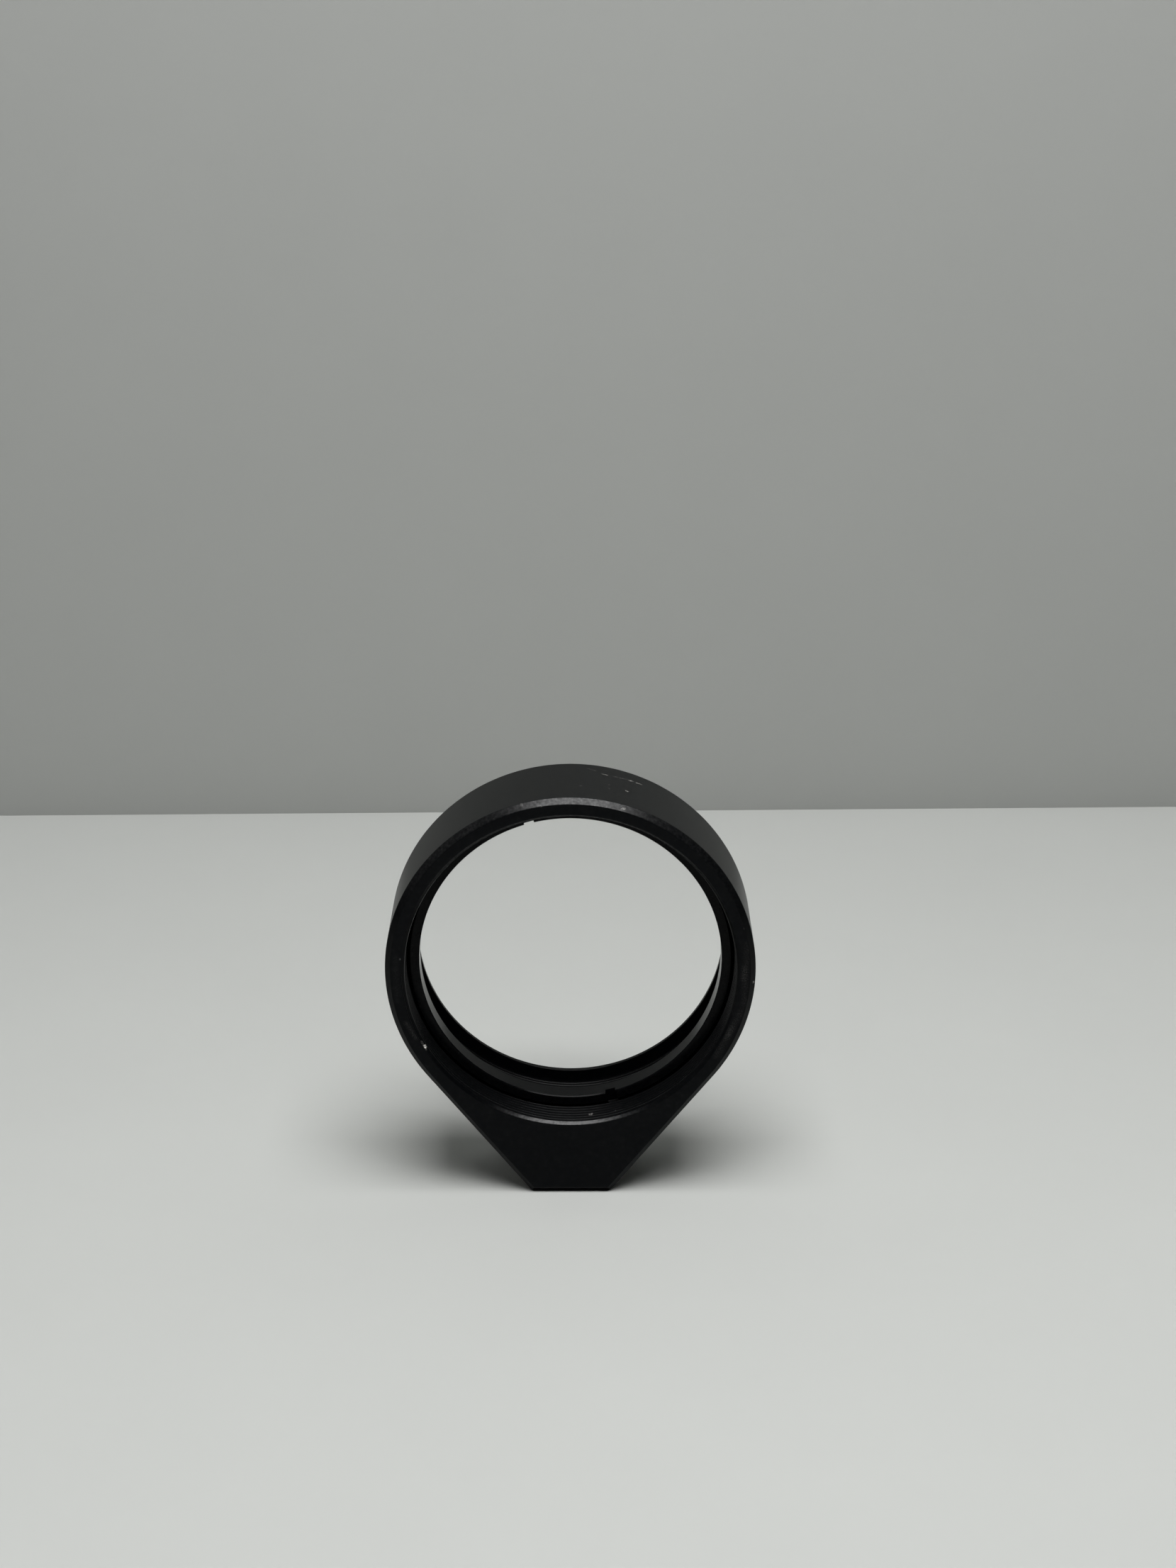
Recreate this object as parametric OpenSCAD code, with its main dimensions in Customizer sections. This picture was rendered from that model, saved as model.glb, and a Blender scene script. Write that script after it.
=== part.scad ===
// Fixed mount for one round optic. The optic drops into the bore from the front,
// rests on the thin lip at the back and is clamped by a screwed retaining ring.
//
// Millimetres. +Z is up and the optical axis runs along Y, with the front face
// towards -Y. The origin is the middle of the foot's bottom face.
// The rim, the lip and the ring are all sized outwards or inwards from the bore,
// so the mount is made for another optic by changing the bore alone.

/* [Bore] */
// Bore diameter, drawn at the crests of the fine thread that fills the bore
bore_d = 38.3; // [25:0.1:80]
// Chamfer at the mouth of the bore, as deep as the thread
bore_chamfer = 0.36; // [0.1:0.01:0.8]
// Height of the lip above the bore wall, which the optic rests on
lip_w = 0.9; // [0.4:0.05:3]
// Thickness of the lip at the back face
lip_t = 0.6; // [0.4:0.05:2]

/* [Rim and foot] */
// Wall of the round rim outside the bore
rim_wall = 2.28; // [1.5:0.01:8]
// Thickness of the mount along the optical axis
body_depth = 12.7; // [10:0.1:30]
// How far the foot reaches below the round rim
foot_drop = 7; // [5.5:0.05:25]
// Width of the foot's flat bottom face
foot_w = 9.4; // [7:0.1:20]
// Chamfer round the outline, on the front and on the back edge
edge_chamfer = 0.65; // [0.2:0.05:1.2]

/* [Post hole] */
// Drilled diameter of the tapped hole in the foot's bottom
hole_d = 3.45; // [2.5:0.05:5]
// Depth of the hole's straight wall, below its mouth
hole_depth = 6.4; // [3:0.1:7.5]
// Countersink at the hole's mouth
hole_chamfer = 0.4; // [0.1:0.05:0.6]
// Full angle of the drill's point
drill_angle = 118; // [90:1:140]

/* [Retaining ring] */
// Clearance between the ring and the bore wall, all round
ring_clearance = 0.05; // [0.02:0.01:0.1]
// Radial width of the ring
ring_w = 1.45; // [1:0.05:4]
// Thickness of the ring
ring_t = 2.54; // [1.5:0.01:4]
// Distance from the mount's front face to the ring's front face
ring_depth = 3.85; // [0.5:0.01:5]
// Chamfer on the ring's outer edges, where the thread starts
ring_chamfer = 0.25; // [0.1:0.05:0.5]
// Broken edge on the ring's inner edges
ring_break = 0.1; // [0.05:0.01:0.3]
// Width of the two spanner slots
slot_w = 1.2; // [0.6:0.05:2.5]
// Depth of the two spanner slots
slot_h = 0.75; // [0.3:0.05:1.5]
// Turn of the slots from upright, clockwise seen from behind
slot_angle = 15.4; // [-90:0.1:90]

/* [Hidden] */

$fn = 180;

bore_r = bore_d / 2;
lip_r = bore_r - lip_w;
rim_r = bore_r + rim_wall;
axis_h = rim_r + foot_drop;

lip_front = body_depth - lip_t;

ring_out_r = bore_r - ring_clearance;
ring_in_r = ring_out_r - ring_w;

hole_r = hole_d / 2;
drill_point_h = hole_r / tan(drill_angle / 2);

// The foot's sides leave its bottom corners as tangents to the rim. Seen along
// the axis with y downwards, this is the corner and the point where it touches.
foot_corner = [foot_w / 2, axis_h];
corner_angle = atan2(foot_corner.y, foot_corner.x);
touch_angle = corner_angle - acos(rim_r / norm(foot_corner));
foot_touch = rim_r * [cos(touch_angle), sin(touch_angle)];

over = 1; // how far a cutter stands past the face that it opens

function mirrored(p) = [-p.x, p.y];

// Puts a shape drawn round Z, with z = 0 as the front face, on the optical axis:
// z becomes the depth behind the front face and y points down to the foot.
module on_axis() {
    translate([0, -body_depth / 2, axis_h])
        rotate([-90, 0, 0])
            children();
}

// A full disc between two depths, with its outer edges chamfered
module chamfered_disc(r, front, back, chamfer) {
    rotate_extrude()
        polygon([
            [0, front],
            [r - chamfer, front],
            [r, front + chamfer],
            [r, back - chamfer],
            [r - chamfer, back],
            [0, back]
        ]);
}

// Cuts the front and back edge along the outline from p to q, with the metal on
// the left of that way
module outline_chamfer(p, q) {
    way = q - p;
    reach = edge_chamfer + over;
    translate([p.x, p.y, 0])
        rotate([0, 0, atan2(way.y, way.x)])
            for (face = [0, 1])
                translate([-over, 0, face * body_depth])
                    mirror([0, 0, face])
                        rotate([90, 0, 90])
                            linear_extrude(norm(way) + 2 * over)
                                polygon([
                                    [reach, -over],
                                    [-over, -over],
                                    [-over, reach]
                                ]);
}

module foot() {
    difference() {
        linear_extrude(body_depth)
            polygon([
                [0, 0],
                foot_touch,
                foot_corner,
                mirrored(foot_corner),
                mirrored(foot_touch)
            ]);
        outline_chamfer(foot_touch, foot_corner);
        outline_chamfer(foot_corner, mirrored(foot_corner));
        outline_chamfer(mirrored(foot_corner), mirrored(foot_touch));
    }
}

// The whole opening along the axis: mouth chamfer, bore and the lip's hole
module bore_void() {
    rotate_extrude()
        polygon([
            [0, -over],
            [bore_r + bore_chamfer + over, -over],
            [bore_r, bore_chamfer],
            [bore_r, lip_front],
            [lip_r, lip_front],
            [lip_r, body_depth + over],
            [0, body_depth + over]
        ]);
}

// Blind hole up into the foot, with its countersink and the drill's point
module post_hole() {
    translate([0, 0, -over])
        cylinder(h = hole_depth + over, r = hole_r);
    translate([0, 0, hole_depth])
        cylinder(h = drill_point_h, r1 = hole_r, r2 = 0);
    translate([0, 0, -over])
        cylinder(
            h = hole_chamfer + over,
            r1 = hole_r + hole_chamfer + over,
            r2 = hole_r
        );
}

module mount_body() {
    color([0.09, 0.09, 0.1])
        difference() {
            on_axis()
                difference() {
                    union() {
                        chamfered_disc(rim_r, 0, body_depth, edge_chamfer);
                        foot();
                    }
                    bore_void();
                }
            post_hole();
        }
}

module retaining_ring() {
    ring_back = ring_depth + ring_t;
    color([0.13, 0.13, 0.14])
        on_axis()
            difference() {
                chamfered_disc(ring_out_r, ring_depth, ring_back, ring_chamfer);
                rotate_extrude()
                    polygon([
                        [0, ring_depth - over],
                        [ring_in_r + ring_break + over, ring_depth - over],
                        [ring_in_r, ring_depth + ring_break],
                        [ring_in_r, ring_back - ring_break],
                        [ring_in_r + ring_break + over, ring_back + over],
                        [0, ring_back + over]
                    ]);
                // one cutter right across makes both slots
                rotate([0, 0, -slot_angle])
                    translate([-slot_w / 2, -rim_r, ring_depth - over])
                        cube([slot_w, 2 * rim_r, slot_h + over]);
            }
}

mount_body();
retaining_ring();
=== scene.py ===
# %% [markdown]
# # A ring mount for a round lens
#
# The object is a small lab part of black anodised aluminium. A round rim stands
# on a tapered foot, a lens rests on a thin lip at the back of the rim, and a
# screwed retaining ring clamps it from the front. This script makes its looks
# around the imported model: both pieces are modelled again in the same place, with
# the fine threads, broken edges and wear that the plain model leaves out.

# %% Load the frame
import math
from contextlib import contextmanager

import bmesh
import bpy
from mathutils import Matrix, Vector


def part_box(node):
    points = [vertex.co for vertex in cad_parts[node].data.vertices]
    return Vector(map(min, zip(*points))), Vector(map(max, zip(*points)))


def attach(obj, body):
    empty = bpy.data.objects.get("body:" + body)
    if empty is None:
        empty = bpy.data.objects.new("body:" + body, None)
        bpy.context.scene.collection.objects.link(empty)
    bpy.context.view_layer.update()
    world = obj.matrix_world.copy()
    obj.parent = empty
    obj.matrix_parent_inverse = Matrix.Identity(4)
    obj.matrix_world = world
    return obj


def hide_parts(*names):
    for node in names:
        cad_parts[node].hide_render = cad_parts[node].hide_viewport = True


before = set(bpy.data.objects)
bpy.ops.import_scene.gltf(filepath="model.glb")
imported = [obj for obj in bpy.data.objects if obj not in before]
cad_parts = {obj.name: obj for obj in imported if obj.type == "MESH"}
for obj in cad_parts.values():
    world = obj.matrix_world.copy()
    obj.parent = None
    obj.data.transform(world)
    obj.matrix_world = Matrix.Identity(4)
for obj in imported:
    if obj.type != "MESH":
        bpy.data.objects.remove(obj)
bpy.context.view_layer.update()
body_low, body_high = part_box("mount_body")
ring_low, ring_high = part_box("retaining_ring")

# %% [markdown]
# ## Sizes
#
# Every length is in metres, so a size in millimetres is written times MM. The
# ends of each piece come from the frame, and the sections are driving sizes of
# the mount itself: the bore is measured at the crests of its thread.

# %% Driving sizes
MM = 0.001

FRONT = body_low.y
BACK = body_high.y
RIM_R = 21.43 * MM
AXIS_Z = body_high.z - RIM_R
FOOT_HALF_W = 4.7 * MM
OUTLINE_CHAMFER = 0.65 * MM

BORE_R = 19.15 * MM
MOUTH_CHAMFER = 0.36 * MM
LIP_R = 18.25 * MM
LIP_T = 0.6 * MM
LIP_DEPTH = BACK - FRONT - LIP_T

print(f"optical axis {AXIS_Z / MM:.2f} mm above the foot")

# %% [markdown]
# ## Helpers for working by hand
#
# Operators act on what is selected, so each step first makes one object the only
# selected one. In edit mode, `pick` selects vertices, edges or faces by where
# they lie or which way they face. `close_up` mends what spinning and extruding
# leave, `tally` shows after each step whether the mesh is still closed, and
# `set_at` puts a shape in its place in the mesh itself, so that every finished
# object sits at the origin.

# %% Selecting
def only(obj):
    """Makes obj the one selected and active object."""
    bpy.ops.object.select_all(action="DESELECT")
    obj.select_set(True)
    bpy.context.view_layer.objects.active = obj


@contextmanager
def editing(obj):
    """Edit mode on obj, and back to object mode afterwards."""
    only(obj)
    bpy.ops.object.mode_set(mode="EDIT")
    yield
    bpy.ops.object.mode_set(mode="OBJECT")


def pick(obj, kind, test):
    """In edit mode, selects just the VERTs, EDGEs or FACEs that pass the test."""
    bpy.ops.mesh.select_mode(type=kind)
    bpy.ops.mesh.select_all(action="DESELECT")
    mesh = bmesh.from_edit_mesh(obj.data)
    everything = {"VERT": mesh.verts, "EDGE": mesh.edges, "FACE": mesh.faces}[kind]
    chosen = [part for part in everything if test(part)]
    for part in chosen:
        part.select_set(True)
    mesh.select_flush_mode()
    bmesh.update_edit_mesh(obj.data)
    return len(chosen)


# %% Closing and counting
SAME_POINT = 0.0001 * MM  # vertices nearer than this are merged


def close_up(obj):
    """Merges doubled vertices and turns every face outwards."""
    with editing(obj):
        bpy.ops.mesh.select_all(action="SELECT")
        bpy.ops.mesh.remove_doubles(threshold=SAME_POINT)
        bpy.ops.mesh.normals_make_consistent(inside=False)


def tally(obj):
    """Prints an object's size and whether its mesh is closed."""
    mesh = bmesh.new()
    mesh.from_mesh(obj.data)
    open_edges = sum(1 for edge in mesh.edges if not edge.is_manifold)
    triangles = sum(len(face.verts) - 2 for face in mesh.faces)
    volume = mesh.calc_volume() / MM**3
    mesh.free()
    print(f"{obj.name}: {triangles} triangles, {open_edges} open edges, {volume:.1f} mm3")


# %% Placing
# Places that shapes made round Z are set at. In the bore, z becomes the depth
# behind the mount's front face; in the foot, it is the height in the hole.
BORE = ((0, FRONT, AXIS_Z), (math.radians(-90), 0, 0))
FOOT_HOLE = ((0, 0, 0), (0, 0, 0))


def set_at(piece, place):
    """Moves and turns an object to its place and applies it to the mesh."""
    only(piece)
    piece.location, piece.rotation_euler = place
    bpy.ops.object.transform_apply(location=True, rotation=True, scale=True)


# %% [markdown]
# ## The body's blank
#
# The rim and its foot are one piece of bar, milled to one outline. A disc and a
# wedge could be joined with a boolean, but one outline gives the clean edges that
# a bevel needs. The circle keeps its arc above the two points where the foot's
# sides touch it, the ends are extruded to the foot's corners and the loop is
# filled. Extruded to the full depth it has sharp edges, so the front and back
# outlines are bevelled together, which mitres the corners as the cutter does.

# %% Where the foot touches the rim
OUTLINE_STEPS = 512

corner = Vector((FOOT_HALF_W, 0, -AXIS_Z))
touch_angle = math.atan2(AXIS_Z, FOOT_HALF_W) - math.acos(RIM_R / corner.length)
touch_z = AXIS_Z - RIM_R * math.sin(touch_angle)
half_step = math.pi / OUTLINE_STEPS * RIM_R
print(f"the foot leaves the rim {touch_z / MM:.2f} mm above the floor")

# %% Outline and depth
bpy.ops.object.select_all(action="DESELECT")
bpy.ops.mesh.primitive_circle_add(vertices=OUTLINE_STEPS, radius=RIM_R, fill_type="NOTHING")
mount = bpy.context.object
mount.name = "rim_and_foot"
set_at(mount, BORE)


def is_arc_end(vert, side):
    """Whether a vertex is the rim's last one on this side, 1 or -1, of the foot."""
    return len(vert.link_edges) == 1 and vert.co.x * side > 0 and vert.co.z > half_step


with editing(mount):
    pick(mount, "VERT", lambda vert: vert.co.z < touch_z - half_step / 2)
    bpy.ops.mesh.delete(type="VERT")
    for side in (1, -1):
        pick(mount, "VERT", lambda vert: is_arc_end(vert, side))
        end = next(v.co.copy() for v in bmesh.from_edit_mesh(mount.data).verts if v.select)
        foot_corner = Vector((side * FOOT_HALF_W, FRONT, 0))
        bpy.ops.mesh.extrude_vertices_move(TRANSFORM_OT_translate={"value": foot_corner - end})
    pick(mount, "VERT", lambda vert: len(vert.link_edges) == 1)
    bpy.ops.mesh.edge_face_add()
    bpy.ops.mesh.select_all(action="SELECT")
    bpy.ops.mesh.edge_face_add()
    bpy.ops.mesh.extrude_region_move(TRANSFORM_OT_translate={"value": (0, BACK - FRONT, 0)})
close_up(mount)
tally(mount)

# %% Outline chamfers
SAME_PLANE = 0.001 * MM  # a vertex nearer than this lies in the plane


def lies_at(edge, y):
    """Whether an edge lies in the plane at y."""
    return all(abs(vert.co.y - y) < SAME_PLANE for vert in edge.verts)


def bevel(width):
    """Chamfers the selected edges."""
    bpy.ops.mesh.bevel(offset=width, segments=1, affect="EDGES", clamp_overlap=False)


with editing(mount):
    pick(mount, "EDGE", lambda edge: lies_at(edge, FRONT) or lies_at(edge, BACK))
    bevel(OUTLINE_CHAMFER)
tally(mount)

# %% [markdown]
# ## Turned shapes and cutters
#
# The bore, the ring and the post hole are turned or drilled, so their tools are
# turned too: a section is drawn point by point from a single vertex, spun round
# the Z axis and then set in its place. A boolean takes the tool away from the
# blank, as on a lathe.

# %% Turning
TURN_STEPS = 256


def draw(name, points, closed):
    """A chain of vertices through the points, made by extruding one vertex."""
    bpy.ops.object.select_all(action="DESELECT")
    bpy.ops.mesh.primitive_plane_add(size=MM, location=(0, 0, 0))
    chain = bpy.context.object
    chain.name = name
    with editing(chain):
        bpy.ops.mesh.select_mode(type="VERT")
        bpy.ops.mesh.select_all(action="SELECT")
        bpy.ops.mesh.merge(type="CENTER")
        bpy.ops.transform.translate(value=points[0])
        for here, there in zip(points, points[1:]):
            bpy.ops.mesh.extrude_vertices_move(
                TRANSFORM_OT_translate={"value": Vector(there) - Vector(here)}
            )
        if closed:
            pick(chain, "VERT", lambda vert: len(vert.link_edges) == 1)
            bpy.ops.mesh.edge_face_add()
    return chain


def turned(name, section, place, closed=False, steps=TURN_STEPS):
    """Spins a section of (radius, depth) points round Z and sets it in place."""
    piece = draw(name, [(radius, 0, depth) for radius, depth in section], closed)
    with editing(piece):
        bpy.ops.mesh.select_all(action="SELECT")
        bpy.ops.mesh.spin(steps=steps, angle=math.tau, center=(0, 0, 0), axis=(0, 0, 1))
    close_up(piece)
    set_at(piece, place)
    return piece


# %% Cutting
OVER = 1 * MM  # how far a cutter stands past the face that it opens


def combine(blank, tool, operation="DIFFERENCE"):
    """Cuts the blank with the tool, or keeps what they share, and drops the tool."""
    only(blank)
    cut = blank.modifiers.new(tool.name, "BOOLEAN")
    cut.operation = operation
    cut.solver = "EXACT"
    cut.object = tool
    bpy.ops.object.modifier_apply(modifier=cut.name)
    bpy.data.objects.remove(tool, do_unlink=True)


# %% [markdown]
# ## The bore and the post hole
#
# One tool opens the whole way along the axis: the chamfered mouth, the bore, the
# relief groove and the smaller hole that leaves the lip standing at the back. The
# hole for the post is drilled up into the foot and ends in the drill's point. The
# edges are broken straight after, while the faces beside them are still whole,
# because a bevel doesn't work well on edges that a thread has cut up.

# %% Bore and lip
THREAD_R = 19.494 * MM  # bottom of the bore thread's groove
RELIEF_R = THREAD_R + 0.03 * MM
RELIEF_FRONT = 10.8 * MM
relief_slope = RELIEF_R - BORE_R

bore_tool = turned(
    "bore_tool",
    [
        (0, -OVER),
        (BORE_R + MOUTH_CHAMFER + OVER, -OVER),
        (BORE_R, MOUTH_CHAMFER),
        (BORE_R, RELIEF_FRONT),
        (RELIEF_R, RELIEF_FRONT + relief_slope),
        (RELIEF_R, LIP_DEPTH),
        (LIP_R, LIP_DEPTH),
        (LIP_R, BACK - FRONT + OVER),
        (0, BACK - FRONT + OVER),
    ],
    BORE,
)
combine(mount, bore_tool)
tally(mount)

# %% Post hole
HOLE_R = 1.725 * MM
HOLE_DEPTH = 6.4 * MM
HOLE_CHAMFER = 0.4 * MM
HOLE_STEPS = 96
DRILL_ANGLE = math.radians(118)
point_height = HOLE_R / math.tan(DRILL_ANGLE / 2)

drill = turned(
    "drill",
    [
        (0, -OVER),
        (HOLE_R + HOLE_CHAMFER + OVER, -OVER),
        (HOLE_R, HOLE_CHAMFER),
        (HOLE_R, HOLE_DEPTH),
        (0, HOLE_DEPTH + point_height),
    ],
    FOOT_HOLE,
    steps=HOLE_STEPS,
)
combine(mount, drill)
close_up(mount)
tally(mount)

# %% Broken edges
EDGE_BREAK = 0.05 * MM
SHARP_ANGLE = math.radians(20)  # faces that meet at more than this have an edge


def break_edges(piece, width):
    """Breaks every sharp outer edge of a piece slightly, as tumbling or a file does."""
    with editing(piece):
        count = pick(piece, "EDGE", lambda edge: edge.calc_face_angle_signed() > SHARP_ANGLE)
        bevel(width)
    print(f"{piece.name}: {count} edges broken")


break_edges(mount, EDGE_BREAK)
tally(mount)

# %% [markdown]
# ## Screw threads
#
# A single-point tool leaves a thread by following a helix. The Screw modifier
# does the same with a section of the groove: it sweeps the section round the axis
# and forward by one pitch a turn. The swept tool is a little longer than the
# thread and stands half a step turned against the blank, so that no two edges
# fall on each other. Where a thread ends inside a hole, the tool is first kept
# inside a cone, and the groove runs out gently.

# %% Thread tool
def groove_tool(name, section, pitch, start, turns, place, steps=TURN_STEPS, turned_back=0):
    """Sweeps a closed section of (radius, depth) points along a helix."""
    angle = (0.5 - turned_back) * math.tau / steps
    points = [
        (radius * math.cos(angle), radius * math.sin(angle), start + depth)
        for radius, depth in section
    ]
    tool = draw(name, points, closed=True)
    screw = tool.modifiers.new("helix", "SCREW")
    screw.axis = "Z"
    screw.angle = math.tau
    screw.screw_offset = pitch
    screw.iterations = turns
    screw.steps = steps
    screw.render_steps = steps
    only(tool)
    bpy.ops.object.modifier_apply(modifier=screw.name)
    with editing(tool):
        bpy.ops.mesh.select_all(action="SELECT")
        bpy.ops.mesh.fill_holes(sides=len(section))
    close_up(tool)
    set_at(tool, place)
    return tool


# %% Inside groove
FLANK = math.tan(math.radians(30))  # 60 degree threads
CREST_BREAK = 0.03 * MM
PAST_INNER_CREST = 0.1 * MM  # how far the section stands past the crests


def inner_groove(pitch, minor_r, major_r):
    """The section that an inside thread's groove is cut with, wide at the bore."""
    root_half = pitch / 16
    crest_r = minor_r + CREST_BREAK
    crest_half = root_half + (major_r - crest_r) * FLANK
    mouth_r = minor_r - PAST_INNER_CREST
    mouth_half = crest_half + crest_r - mouth_r  # the crests are broken at 45 degrees
    return [
        (mouth_r, -mouth_half),
        (crest_r, -crest_half),
        (major_r, -root_half),
        (major_r, root_half),
        (crest_r, crest_half),
        (mouth_r, mouth_half),
    ]


# %% [markdown]
# ## The threads in the body
#
# The bore carries a fine thread of 40 turns to the inch from its mouth nearly to
# the lip. The post hole has the coarser thread that optical posts use.

# %% Bore thread
FINE_PITCH = 25.4 / 40 * MM
THREAD_END = 11.72 * MM  # in the relief, where the last turn stops cutting
BORE_TURNS = 20
THREAD_START = 41  # steps by which the thread starts earlier on the circle

thread_tool = groove_tool(
    "bore_thread_tool",
    inner_groove(FINE_PITCH, BORE_R, THREAD_R),
    FINE_PITCH,
    start=THREAD_END - BORE_TURNS * FINE_PITCH,
    turns=BORE_TURNS,
    place=BORE,
    turned_back=THREAD_START,
)
combine(mount, thread_tool)
tally(mount)

# %% Post hole thread
POST_PITCH = 25.4 / 32 * MM
POST_TURNS = 9
POST_LEAD_IN = 1.5 * POST_PITCH  # how far below the hole's mouth the helix starts
POST_THREAD_R = 2.083 * MM
POST_THREAD_END = 5.6 * MM

# The cone that the last turn runs out in, and a bottom below the whole tool
CONE_WIDE_R = POST_THREAD_R + 0.1 * MM
CONE_NARROW_R = HOLE_R - 0.14 * MM
CONE_BOTTOM = -3 * OVER

post_tool = groove_tool(
    "post_thread_tool",
    inner_groove(POST_PITCH, HOLE_R, POST_THREAD_R),
    POST_PITCH,
    start=-POST_LEAD_IN,
    turns=POST_TURNS,
    place=FOOT_HOLE,
    steps=HOLE_STEPS,
)
post_lead = turned(
    "post_lead",
    [
        (0, CONE_BOTTOM),
        (POST_THREAD_R + OVER, CONE_BOTTOM),
        (CONE_WIDE_R, POST_THREAD_END - POST_PITCH),
        (CONE_NARROW_R, POST_THREAD_END),
        (0, POST_THREAD_END),
    ],
    FOOT_HOLE,
    steps=HOLE_STEPS,
)
combine(post_tool, post_lead, "INTERSECT")
combine(mount, post_tool)
tally(mount)

# %% [markdown]
# ## The retaining ring
#
# The ring is turned from tube. Its outside thread fits the bore's, with its
# ridges in the middle of the bore's grooves, and two spanner slots are milled
# across its front face. The section starts at the ring's inner front edge and
# runs round outside it.

# %% Ring blank
RING_CREST_R = 19.43 * MM
RING_ROOT_R = 19.08 * MM
RING_IN_R = 17.65 * MM
RING_BREAK = 0.1 * MM
RING_FACE_R = 18.70 * MM  # outer edge of its flat front and back faces
ring_front = ring_low.y - FRONT
ring_back = ring_high.y - FRONT
ring_slope = RING_CREST_R - RING_FACE_R

ring = turned(
    "ring",
    [
        (RING_IN_R, ring_front + RING_BREAK),
        (RING_IN_R + RING_BREAK, ring_front),
        (RING_FACE_R, ring_front),
        (RING_CREST_R, ring_front + ring_slope),
        (RING_CREST_R, ring_back - ring_slope),
        (RING_FACE_R, ring_back),
        (RING_IN_R + RING_BREAK, ring_back),
        (RING_IN_R, ring_back - RING_BREAK),
    ],
    BORE,
    closed=True,
)
tally(ring)

# %% Outside groove
PAST_OUTER_CREST = 0.04 * MM


def outer_groove(pitch, minor_r, major_r):
    """The section that an outside thread's groove is cut with, wide outside."""
    root_half = pitch / 8
    mouth_r = major_r + PAST_OUTER_CREST
    mouth_half = root_half + (mouth_r - minor_r) * FLANK
    return [
        (minor_r, -root_half),
        (mouth_r, -mouth_half),
        (mouth_r, mouth_half),
        (minor_r, root_half),
    ]


# %% Ring thread
# A ridge lies in the middle of a groove when the ring's own grooves start half a
# pitch away from the bore's, counted from the same face.
RING_TURNS = 6
RING_PITCHES = 13.5  # how far before the end of the bore's thread its helix starts

ring_tool = groove_tool(
    "ring_thread_tool",
    outer_groove(FINE_PITCH, RING_ROOT_R, RING_CREST_R),
    FINE_PITCH,
    start=THREAD_END - RING_PITCHES * FINE_PITCH,
    turns=RING_TURNS,
    place=BORE,
    turned_back=THREAD_START,
)
combine(ring, ring_tool)
tally(ring)

# %% Spanner slots
# One cutter right across the ring mills both slots.
SLOT_W = 1.2 * MM
SLOT_DEPTH = 0.75 * MM
SLOT_ANGLE = math.radians(15.4)
CUTTER_LENGTH = 3 * RIM_R

bpy.ops.object.select_all(action="DESELECT")
bpy.ops.mesh.primitive_cube_add(size=1, scale=(SLOT_W, CUTTER_LENGTH, 2 * SLOT_DEPTH))
slot_tool = bpy.context.object
bpy.ops.object.transform_apply(location=True, rotation=True, scale=True)
with editing(slot_tool):
    bpy.ops.mesh.select_all(action="SELECT")
    bpy.ops.transform.translate(value=(0, 0, ring_front))
slot_tool.rotation_euler.z = -SLOT_ANGLE
bpy.ops.object.transform_apply(location=True, rotation=True, scale=True)
set_at(slot_tool, BORE)
combine(ring, slot_tool)
tally(ring)

# %% [markdown]
# ## Smooth shading
#
# Turned faces should look round and milled ones flat. Faces that meet at a small
# angle are shaded as one, and normals weighted by face area keep the flat faces
# flat right up to their edges, although booleans have left them long and thin.

# %% Smooth shading
def smooth(piece):
    """Smooth shading between faces that meet at a small angle."""
    only(piece)
    bpy.ops.object.shade_smooth_by_angle(angle=SHARP_ANGLE)
    weighted = piece.modifiers.new("weighted_normal", "WEIGHTED_NORMAL")
    weighted.mode = "FACE_AREA"
    weighted.weight = 100
    weighted.keep_sharp = True
    bpy.ops.object.modifier_apply(modifier=weighted.name)
    print(f"{piece.name} is shaded smooth")


smooth(mount)
smooth(ring)

# %% [markdown]
# ## Painting with nodes
#
# A finish is a node tree, and its maths reads best as plain expressions. `Wire`
# wraps one output of a node, and the usual operators on wires add Math nodes.
# `Paint.node` adds any other node: its settings first, then what each of its
# inputs is given, either a value or a wire.

# %% Wires
class Wire:
    """One output of a node, with operators that add Math nodes."""

    def __init__(self, paint, socket):
        self.paint = paint
        self.socket = socket

    def maths(self, operation, first, second):
        return self.paint.node("Math", {"operation": operation}, {0: first, 1: second})

    def __add__(self, other):
        return self.maths("ADD", self, other)

    def __sub__(self, other):
        return self.maths("SUBTRACT", self, other)

    def __rsub__(self, other):
        return self.maths("SUBTRACT", other, self)

    def __mul__(self, other):
        return self.maths("MULTIPLY", self, other)

    def __truediv__(self, other):
        return self.maths("DIVIDE", self, other)

    def __pow__(self, other):
        return self.maths("POWER", self, other)

    __radd__ = __add__
    __rmul__ = __mul__


# %% Paint
class Paint:
    """The shader of a material or world, and the nodes that drive it."""

    def __init__(self, owner, shader="Principled BSDF"):
        self.owner = owner
        owner.use_nodes = True
        self.tree = owner.node_tree
        self.shader = self.tree.nodes[shader]

    def connect(self, socket, value):
        if isinstance(value, Wire):
            self.tree.links.new(value.socket, socket)
        else:
            socket.default_value = value

    def node(self, kind, settings=None, inputs=None, output=0):
        """Adds a node, sets it up, feeds its inputs and returns one output."""
        made = self.tree.nodes.new("ShaderNode" + kind)
        for key, value in (settings or {}).items():
            setattr(made, key, value)
        for key, value in (inputs or {}).items():
            self.connect(made.inputs[key], value)
        return Wire(self, made.outputs[output])

    def finish(self, **sockets):
        """Feeds the shader's own sockets, named with _ for a space."""
        for key, value in sockets.items():
            self.connect(self.shader.inputs[key.replace("_", " ")], value)
        return self.owner


# %% Patterns and vectors
def noise(place, size, detail=2):
    """Noise from 0 to 1 with lumps of about this size."""
    return place.paint.node("TexNoise", {}, {"Vector": place, "Scale": 1 / size, "Detail": detail})


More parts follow.
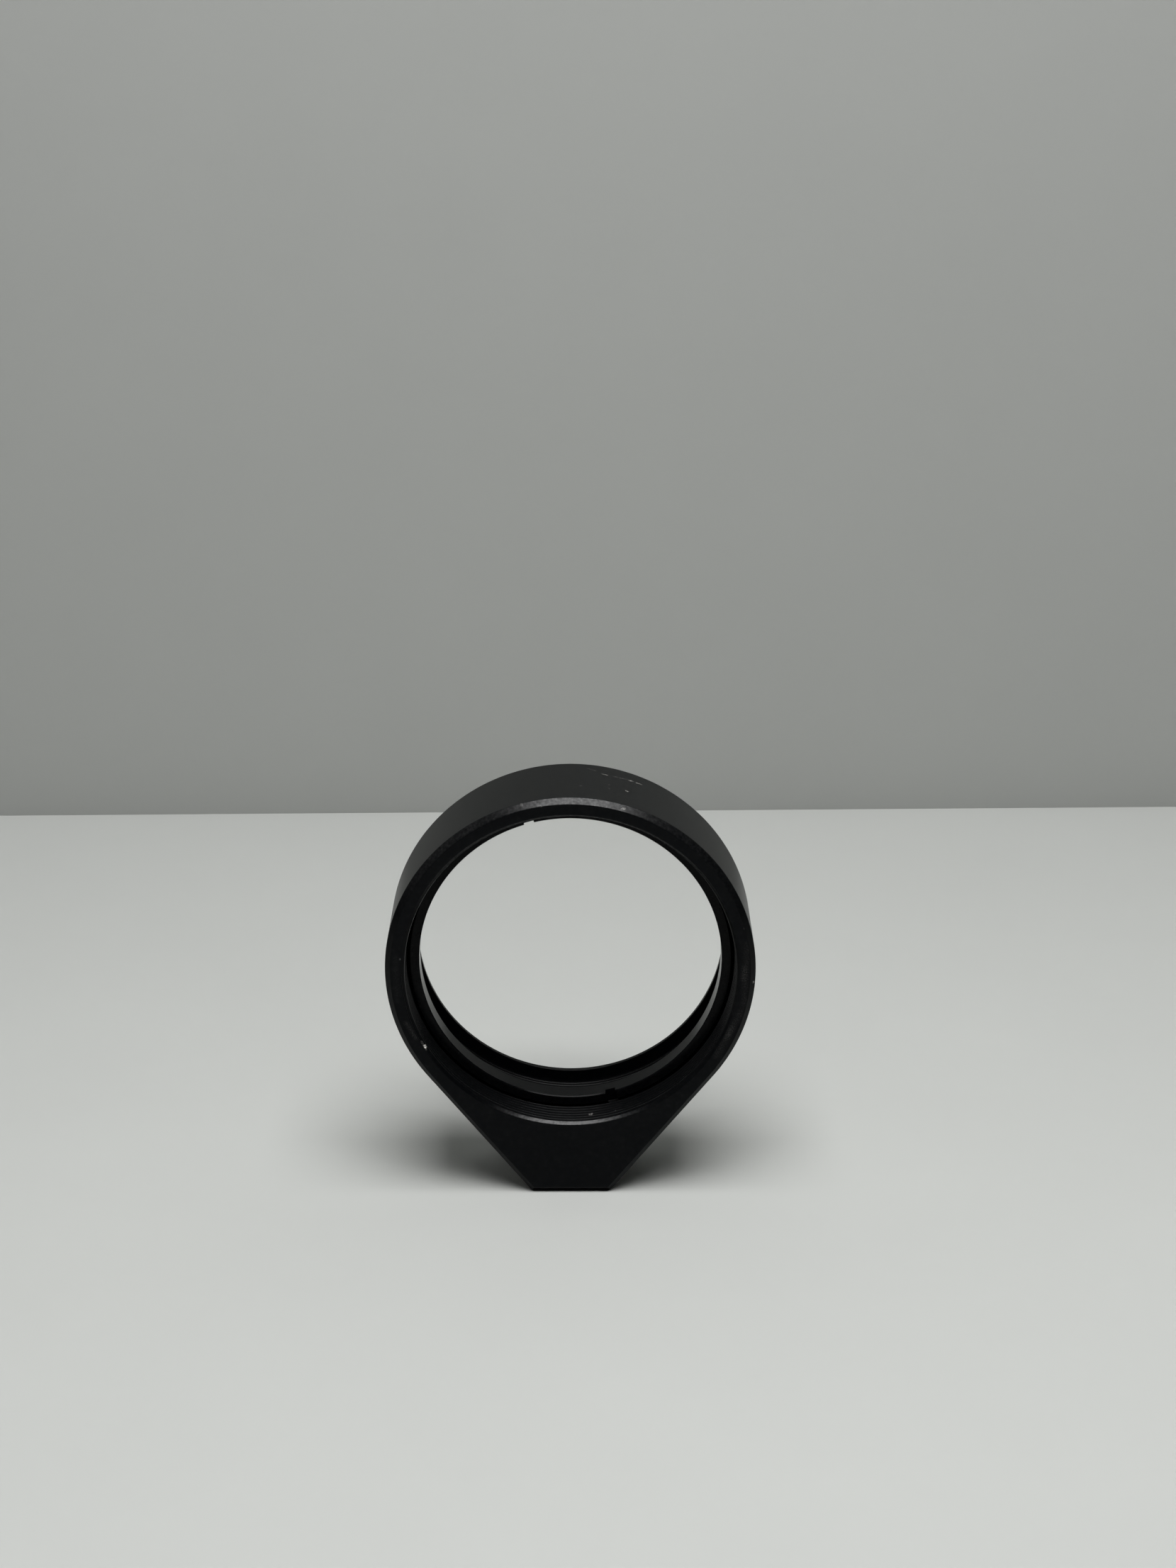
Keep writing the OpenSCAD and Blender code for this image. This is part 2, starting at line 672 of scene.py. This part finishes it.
def clamped(value):
    """The value kept between 0 and 1."""
    return value.paint.node("Clamp", {}, {"Value": value})


def ramp(value, start, end):
    """Rises from 0 at start to 1 at end, whichever of the two is larger."""
    return clamped((value - start) / (end - start))


def vectors(operation, first, second, output=0):
    """Works on two vectors or colours, of which the first is a wire."""
    return first.paint.node("VectorMath", {"operation": operation}, {0: first, 1: second}, output)


def scaled(vector, amount):
    """A fixed vector or colour times a wire."""
    return amount.paint.node("VectorMath", {"operation": "SCALE"}, {0: vector, "Scale": amount})


# %% [markdown]
# ## Black anodised aluminium
#
# Anodising turns the metal's skin to a dyed, matt oxide. Straight on it is nearly
# black, and at a grazing angle it mirrors whatever is behind it. Handling leaves
# small scuffs, specks and one broken scratch, which show pale where the dye is
# gone. The chamfers at the rim's top and at the mouth's bottom carry a painted
# highlight: a gloss coat laid only where they mirror the lamp, uneven in patches.
# An image could hold the marks, but a few short lines in the mount's own
# coordinates need no picture and stay sharp at any size.

# %% Marks
MOTTLE_SIZE = 0.15 * MM

# The sides that marks can be on, as the way in which each one looks
ABOVE = (0, 0, 1)
BELOW = (0, 0, -1)
AHEAD = (0, -1, 0)


def mark(place, start, end, width):
    """Strongest along the line from start to end, mottled and fading out at width."""
    way = end - start
    along = vectors("SUBTRACT", place, start)
    share = clamped(vectors("DOT_PRODUCT", along, way, "Value") / way.length_squared)
    away = vectors("DISTANCE", along, scaled(way, share), "Value")
    mottle = (0.2 + 1.6 * noise(place, MOTTLE_SIZE)) ** 5
    return clamped(1 - away / width) * mottle


def all_marks(place, marks, side):
    """The sum of marks, each (start, end, width, paleness), on one side of the axis."""
    flattened = vectors("MULTIPLY", place, [1 - abs(part) for part in side])
    total = sum(
        pale * mark(flattened, Vector(start) * MM, Vector(end) * MM, width * MM)
        for start, end, width, pale in marks
    )
    from_middle = vectors("SUBTRACT", place, (0, 0, AXIS_Z))
    return total * ramp(vectors("DOT_PRODUCT", from_middle, side, "Value"), 0, MM)


# %% Where the marks are
# Each has a start and an end, in millimetres, a width and how pale it is. The
# coordinate along the side that it is seen from is left at 0.
WALL_MARKS = [
    ((3.7, 3.0, 0), (4.3, 2.9, 0), 0.16, 0.10),
    ((5.1, 2.9, 0), (5.5, 3.0, 0), 0.14, 0.05),
    ((5.8, 2.9, 0), (6.5, 3.1, 0), 0.14, 0.05),
    ((6.9, 3.0, 0), (7.2, 3.1, 0), 0.22, 0.14),
    ((7.7, 3.0, 0), (8.2, 3.1, 0), 0.20, 0.14),
    ((2.0, 4.3, 0), (2.9, 3.8, 0), 0.16, 0.03),
    ((6.5, -0.9, 0), (6.6, -0.9, 0), 0.20, 0.26),
    ((4.5, -0.2, 0), (4.5, -0.3, 0), 0.16, 0.04),
    ((4.5, -1.5, 0), (4.5, -1.6, 0), 0.16, 0.04),
    ((1.2, -1.8, 0), (1.3, -1.8, 0), 0.20, 0.04),
]
FRONT_MARKS = [
    ((20.4, 0, 32.0), (20.1, 0, 24.4), 0.60, 0.006),
    ((20.1, 0, 29.1), (20.0, 0, 27.8), 0.50, 0.009),
    ((19.8, 0, 23.6), (17.0, 0, 18.0), 0.60, 0.006),
    ((18.8, 0, 21.5), (18.2, 0, 20.3), 0.50, 0.009),
    ((-20.2, 0, 30.5), (-20.0, 0, 25.0), 0.50, 0.003),
    ((-19.1, 0, 22.2), (-18.0, 0, 20.3), 0.40, 0.010),
    ((-19.6, 0, 30.3), (-19.6, 0, 30.2), 0.12, 0.06),
    ((20.0, 0, 34.1), (20.0, 0, 34.0), 0.14, 0.06),
]
EDGE_MARKS = [
    ((21.2, 0, 27.2), (21.2, 0, 27.1), 0.18, 0.15),
    ((-17.0, 0, 19.2), (-16.9, 0, 19.0), 0.16, 0.8),
    ((-17.4, 0, 19.8), (-16.8, 0, 18.7), 0.14, 0.05),
    ((5.8, 0, 48.6), (6.2, 0, 48.6), 0.14, 0.16),
    ((-5.4, 0, 49.0), (-5.5, 0, 49.0), 0.16, 0.10),
    ((-3.2, 0, 49.0), (-3.3, 0, 49.0), 0.12, 0.10),
]
THREAD_MARKS = [
    ((2.2, -4.4, 0), (2.5, -4.3, 0), 0.16, 0.12),
    ((5.2, -4.6, 0), (5.3, -4.5, 0), 0.14, 0.08),
]

# %% Painted highlight
# Where the gloss of the painted highlight starts and where it is full
RIM_TOP_HIGHLIGHT = (36 * MM, 44 * MM)  # height
MOUTH_BOTTOM_HIGHLIGHT = (12.6 * MM, 9.2 * MM)  # height
MOUTH_HIGHLIGHT_RADII = (19.8 * MM, 19.6 * MM)  # distance from the axis
FRONT_HIGHLIGHT_EDGE = (FRONT + 0.6 * MM, FRONT + 0.5 * MM)  # y
MOUTH_HIGHLIGHT_GAIN = 2.3  # how much glossier the mouth's bottom is than the rim's top
HIGHLIGHT_PATCH_SIZE = 0.3 * MM


def painted_highlight(place):
    """Painted highlight: the gloss coat on the chamfers at the rim's top and the mouth's bottom.
    """
    x, y, z = (place.paint.node("SeparateXYZ", {}, {0: place}, axis) for axis in range(3))
    from_middle = (x * x + (z - AXIS_Z) * (z - AXIS_Z)) ** 0.5
    top = ramp(z, *RIM_TOP_HIGHLIGHT)
    bottom = ramp(z, *MOUTH_BOTTOM_HIGHLIGHT) ** 2
    at_mouth = ramp(from_middle, *MOUTH_HIGHLIGHT_RADII)
    at_front = ramp(y, *FRONT_HIGHLIGHT_EDGE)
    uneven = 0.2 + 3 * noise(place, HIGHLIGHT_PATCH_SIZE, 4) ** 2
    return (top + MOUTH_HIGHLIGHT_GAIN * bottom * at_mouth * at_front) * uneven


# %% Anodised finishes
WALL_DYE = (0.0016, 0.0019, 0.0022)
FACE_DYE = (0.0013, 0.0018, 0.0026)
BLACK_DYE = (0.0012, 0.0015, 0.0020)
BARE = (1.0, 0.97, 0.92)  # the tint of metal that shows where the dye is gone

GRAIN_SIZE = 0.05 * MM
GRAIN_HEIGHT = 0.02 * MM
CLOUD_SIZE = 0.4 * MM
HAZE_SIZE = 0.6 * MM
HIGHLIGHT_COAT_ROUGHNESS = 0.33


def anodised(name, dye, roughness, ior, marks=(), side=AHEAD, painted_gloss=0.0):
    """Dyed oxide with a fine grain, a faint haze, and pale marks where the dye is gone."""
    paint = Paint(bpy.data.materials.new(name))
    place = paint.node("TexCoord", output="Object")
    grain = noise(place, GRAIN_SIZE, 3)
    bump = paint.node("Bump", {}, {"Height": grain, "Strength": 0.1, "Distance": GRAIN_HEIGHT})
    tone = 0.4 + 1.2 * noise(place, CLOUD_SIZE, 3)  # an average of 1, so the dye stays
    haze = 0.012 * noise(place, HAZE_SIZE, 5) ** 4
    gone = all_marks(place, marks, side) + haze
    paint.finish(
        Base_Color=vectors("ADD", scaled(dye, tone), scaled(BARE, gone)),
        Roughness=roughness + 0.1 * (grain - 0.5),
        IOR=ior,
        Normal=bump,
    )
    # A painted highlight: a gloss coat on the chamfers only where they mirror the lamp.
    if painted_gloss:
        highlight_gloss = clamped(painted_gloss * painted_highlight(place))
        paint.finish(Coat_Weight=highlight_gloss, Coat_Roughness=HIGHLIGHT_COAT_ROUGHNESS)
    print(f"{name} has {len(marks)} marks")
    return paint.owner


wall = anodised("anodised_wall", WALL_DYE, 0.31, 1.165, WALL_MARKS, ABOVE)
face = anodised("anodised_face", FACE_DYE, 0.32, 1.163, FRONT_MARKS)
# The chamfers carry the painted highlight at the rim's top and the mouth's bottom.
cut = anodised("anodised_cut", BLACK_DYE, 0.30, 1.16, EDGE_MARKS, painted_gloss=0.45)
thread = anodised("anodised_thread", BLACK_DYE, 0.24, 1.31, THREAD_MARKS, BELOW)
satin = anodised("anodised_ring", BLACK_DYE, 0.16, 1.152)

# %% [markdown]
# ## Which face has which finish
#
# All of the mount is dyed in one bath, but each cut leaves its own surface: the
# milled wall, the flat faces, the chamfers and the threads mirror differently.
# So the faces are sorted by which way they look and where they lie. The wall's
# finish is given to the whole mount first, and the others replace it.

# %% Sorting faces
FLAT = 0.99  # how much of a flat face's normal lies along one axis, at least
TILTED = (0.2, 0.98)  # how much of a chamfer's normal lies along the bore
BESIDE_RELIEF = 0.01 * MM
HOLE_TOP = 9 * MM  # above the drill's point


def from_axis(face):
    """How far a face's middle is from the optical axis."""
    middle = face.calc_center_median()
    return math.hypot(middle.x, middle.z - AXIS_Z)


def is_flat(face):
    """Whether a face of the mount looks straight forwards, backwards or down."""
    return abs(face.normal.y) > FLAT or face.normal.z < -FLAT


def is_tilted(face):
    """Whether a face is a chamfer or a broken edge."""
    return TILTED[0] < abs(face.normal.y) < TILTED[1]


def in_thread(face):
    """Whether a face of the mount lies in the threaded bore or the post hole."""
    middle = face.calc_center_median()
    at_thread_r = LIP_R < from_axis(face) < RELIEF_R + BESIDE_RELIEF
    in_bore = at_thread_r and MOUTH_CHAMFER < middle.y - FRONT < LIP_DEPTH
    in_hole = math.hypot(middle.x, middle.y) < POST_THREAD_R and middle.z < HOLE_TOP
    return (in_bore or in_hole) and not is_flat(face)


# %% Painting faces
def paint_faces(piece, material, test):
    """Gives a material to the faces that pass the test."""
    piece.data.materials.append(material)
    with editing(piece):
        count = pick(piece, "FACE", test)
        piece.active_material_index = len(piece.data.materials) - 1
        bpy.ops.object.material_slot_assign()
    print(f"{material.name} on {count} faces of {piece.name}")


mount.data.materials.append(wall)
paint_faces(mount, face, is_flat)
paint_faces(mount, cut, is_tilted)
paint_faces(mount, thread, in_thread)
ring.data.materials.append(satin)

# %% [markdown]
# ## The camera
#
# The lens is long and looks slightly down on the mount, which stands on a pale
# floor in front of a plain grey backdrop.

# %% Camera
LOOK_DOWN = 19.89  # degrees below level

camera_data = bpy.data.cameras.new("camera")
camera_data.sensor_width = 36.0
camera_data.lens = 60.23
camera_data.clip_start = 0.01
camera_data.clip_end = 10
camera = bpy.data.objects.new("camera", camera_data)
bpy.context.collection.objects.link(camera)
camera.location = (0.00179, -0.28340, 0.15192)
camera.rotation_euler = [math.radians(turn) for turn in (90 - LOOK_DOWN, 0.04, -0.07)]
bpy.context.scene.camera = camera
print(f"a {camera_data.lens:.1f} mm lens, {LOOK_DOWN} degrees down")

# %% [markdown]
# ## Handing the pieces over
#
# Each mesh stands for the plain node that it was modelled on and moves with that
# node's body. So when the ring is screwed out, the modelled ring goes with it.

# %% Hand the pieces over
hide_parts("mount_body")
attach(mount, "mount")
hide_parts("retaining_ring")
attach(ring, "ring")
print("rim_and_foot and ring stand for the two nodes")

# %% [markdown]
# ## Floor and backdrop
#
# The mount stands on pale paper in front of a sheet of grey. A curved sweep would
# hide the line between them, but here the line should show, so they are two flat
# sheets. The paper is clear from behind, so that no view of the mount is blocked,
# and far from the mount it fades into the surround, so that no edge of a sheet
# shows. The fading is a glow that only the camera sees, so it lights nothing.

# %% Paper
PAPER_TINT = (1, 1.022, 0.988)
PALE = 0.45  # how bright the surround is past the sheets
FADE = (250 * MM, 650 * MM)  # distances at which the fading starts and is full
PAPER_CLOUD = 25 * MM
# Painted shade: the backdrop is painted darker just above the floor line.
FOOT_SHADE_HEIGHT = 5 * MM  # over which the backdrop's dark foot grows paler


def paper(name, shade, painted_foot_shade=0.0):
    """Matt paper with a faint mottle and a painted shade along its foot, clear from behind, that
    fades to the pale surround.
    """
    paint = Paint(bpy.data.materials.new(name))
    place = paint.node("TexCoord", output="Object")
    height = paint.node("SeparateXYZ", {}, {0: place}, 2)
    foot_shade = paint.node("Math", {"operation": "EXPONENT"}, {0: height / -FOOT_SHADE_HEIGHT})
    mottle = 0.98 + 0.04 * noise(place, PAPER_CLOUD, 6)
    # The painted shade darkens the paper towards the floor.
    tone = shade * mottle * (1 - painted_foot_shade * foot_shade)
    faded = ramp(vectors("DISTANCE", place, (0, 0, 0), "Value"), *FADE)
    glow = PALE * faded * paint.node("LightPath", output="Is Camera Ray")
    paint.finish(
        Base_Color=scaled(PAPER_TINT, tone),
        Roughness=0.9,
        IOR=1.2,
        Emission_Color=scaled(PAPER_TINT, glow),
        Emission_Strength=1,
    )
    from_behind = {
        0: paint.node("NewGeometry", output="Backfacing"),
        1: Wire(paint, paint.shader.outputs["BSDF"]),
        2: paint.node("BsdfTransparent"),
    }
    surface = paint.node("MixShader", {}, from_behind)
    paint.connect(paint.tree.nodes["Material Output"].inputs["Surface"], surface)
    return paint.owner


# %% Sheets
BACKDROP_Y = 123.2 * MM
BACKDROP_TURN = math.radians(1.06)


def sheet(name, width, depth, location, rotation, material):
    """A flat sheet that isn't part of the object."""
    bpy.ops.object.select_all(action="DESELECT")
    bpy.ops.mesh.primitive_plane_add(size=1)
    made = bpy.context.object
    made.name = name
    made.scale = (width, depth, 1)
    made.rotation_euler = rotation
    made.location = location
    bpy.ops.object.transform_apply(location=True, rotation=True, scale=True)
    made.data.materials.append(material)
    print(f"{name} {width} m by {depth} m")


upright = (math.radians(90), 0, BACKDROP_TURN)
pale_paper = paper("floor_paper", shade=0.60)
# The backdrop gets a painted shade along its foot, darker just above the floor.
grey_paper = paper("backdrop_paper", shade=0.462, painted_foot_shade=0.12)
sheet("floor", 1.6, 1.2, (0, -0.4, 0), (0, 0, 0), pale_paper)
sheet("backdrop", 1.6, 1.0, (0, BACKDROP_Y, 0.5), upright, grey_paper)

# %% [markdown]
# ## Light
#
# One soft lamp hangs above the mount and a little in front of it, so the shadow
# lies on both sides of the foot. A sun would give hard shadows, and this soft one
# needs a lamp with a real size. A large weak lamp fills in from the left. The
# world adds hardly any light, but it is pale where the camera sees it, and a dim
# grey where the metal mirrors it.

# %% Lamps
def softbox(name, size, location, aim, watts):
    """A rectangular area lamp at location, turned towards aim."""
    data = bpy.data.lights.new(name, "AREA")
    data.shape = "RECTANGLE"
    data.size, data.size_y = size
    data.energy = watts
    lamp = bpy.data.objects.new(name, data)
    bpy.context.collection.objects.link(lamp)
    lamp.location = location
    lamp.rotation_euler = (Vector(aim) - Vector(location)).to_track_quat("-Z", "Y").to_euler()
    print(f"{name} lamp {watts} W")


softbox("overhead", (0.30, 0.24), (0.024, -0.118, 0.43), (0.024, -0.118, 0), 1.98)
softbox("left", (0.8, 0.8), (-0.9, -0.2, 0.5), (0, 0, 0), 0.42)

# %% Surround
DIM = 0.01  # the light that the world adds
IN_METAL = 0.06  # what the metal mirrors of it

surround = Paint(bpy.data.worlds.new("surround"), "Background")
in_view = surround.node("LightPath", output="Is Camera Ray")
mirrored = surround.node("LightPath", output="Is Glossy Ray")
surround.finish(Color=(*PAPER_TINT, 1), Strength=DIM + PALE * in_view + IN_METAL * mirrored)
bpy.context.scene.world = surround.owner
bpy.context.scene.view_settings.view_transform = "Standard"
print("the surround is", surround.owner.name)
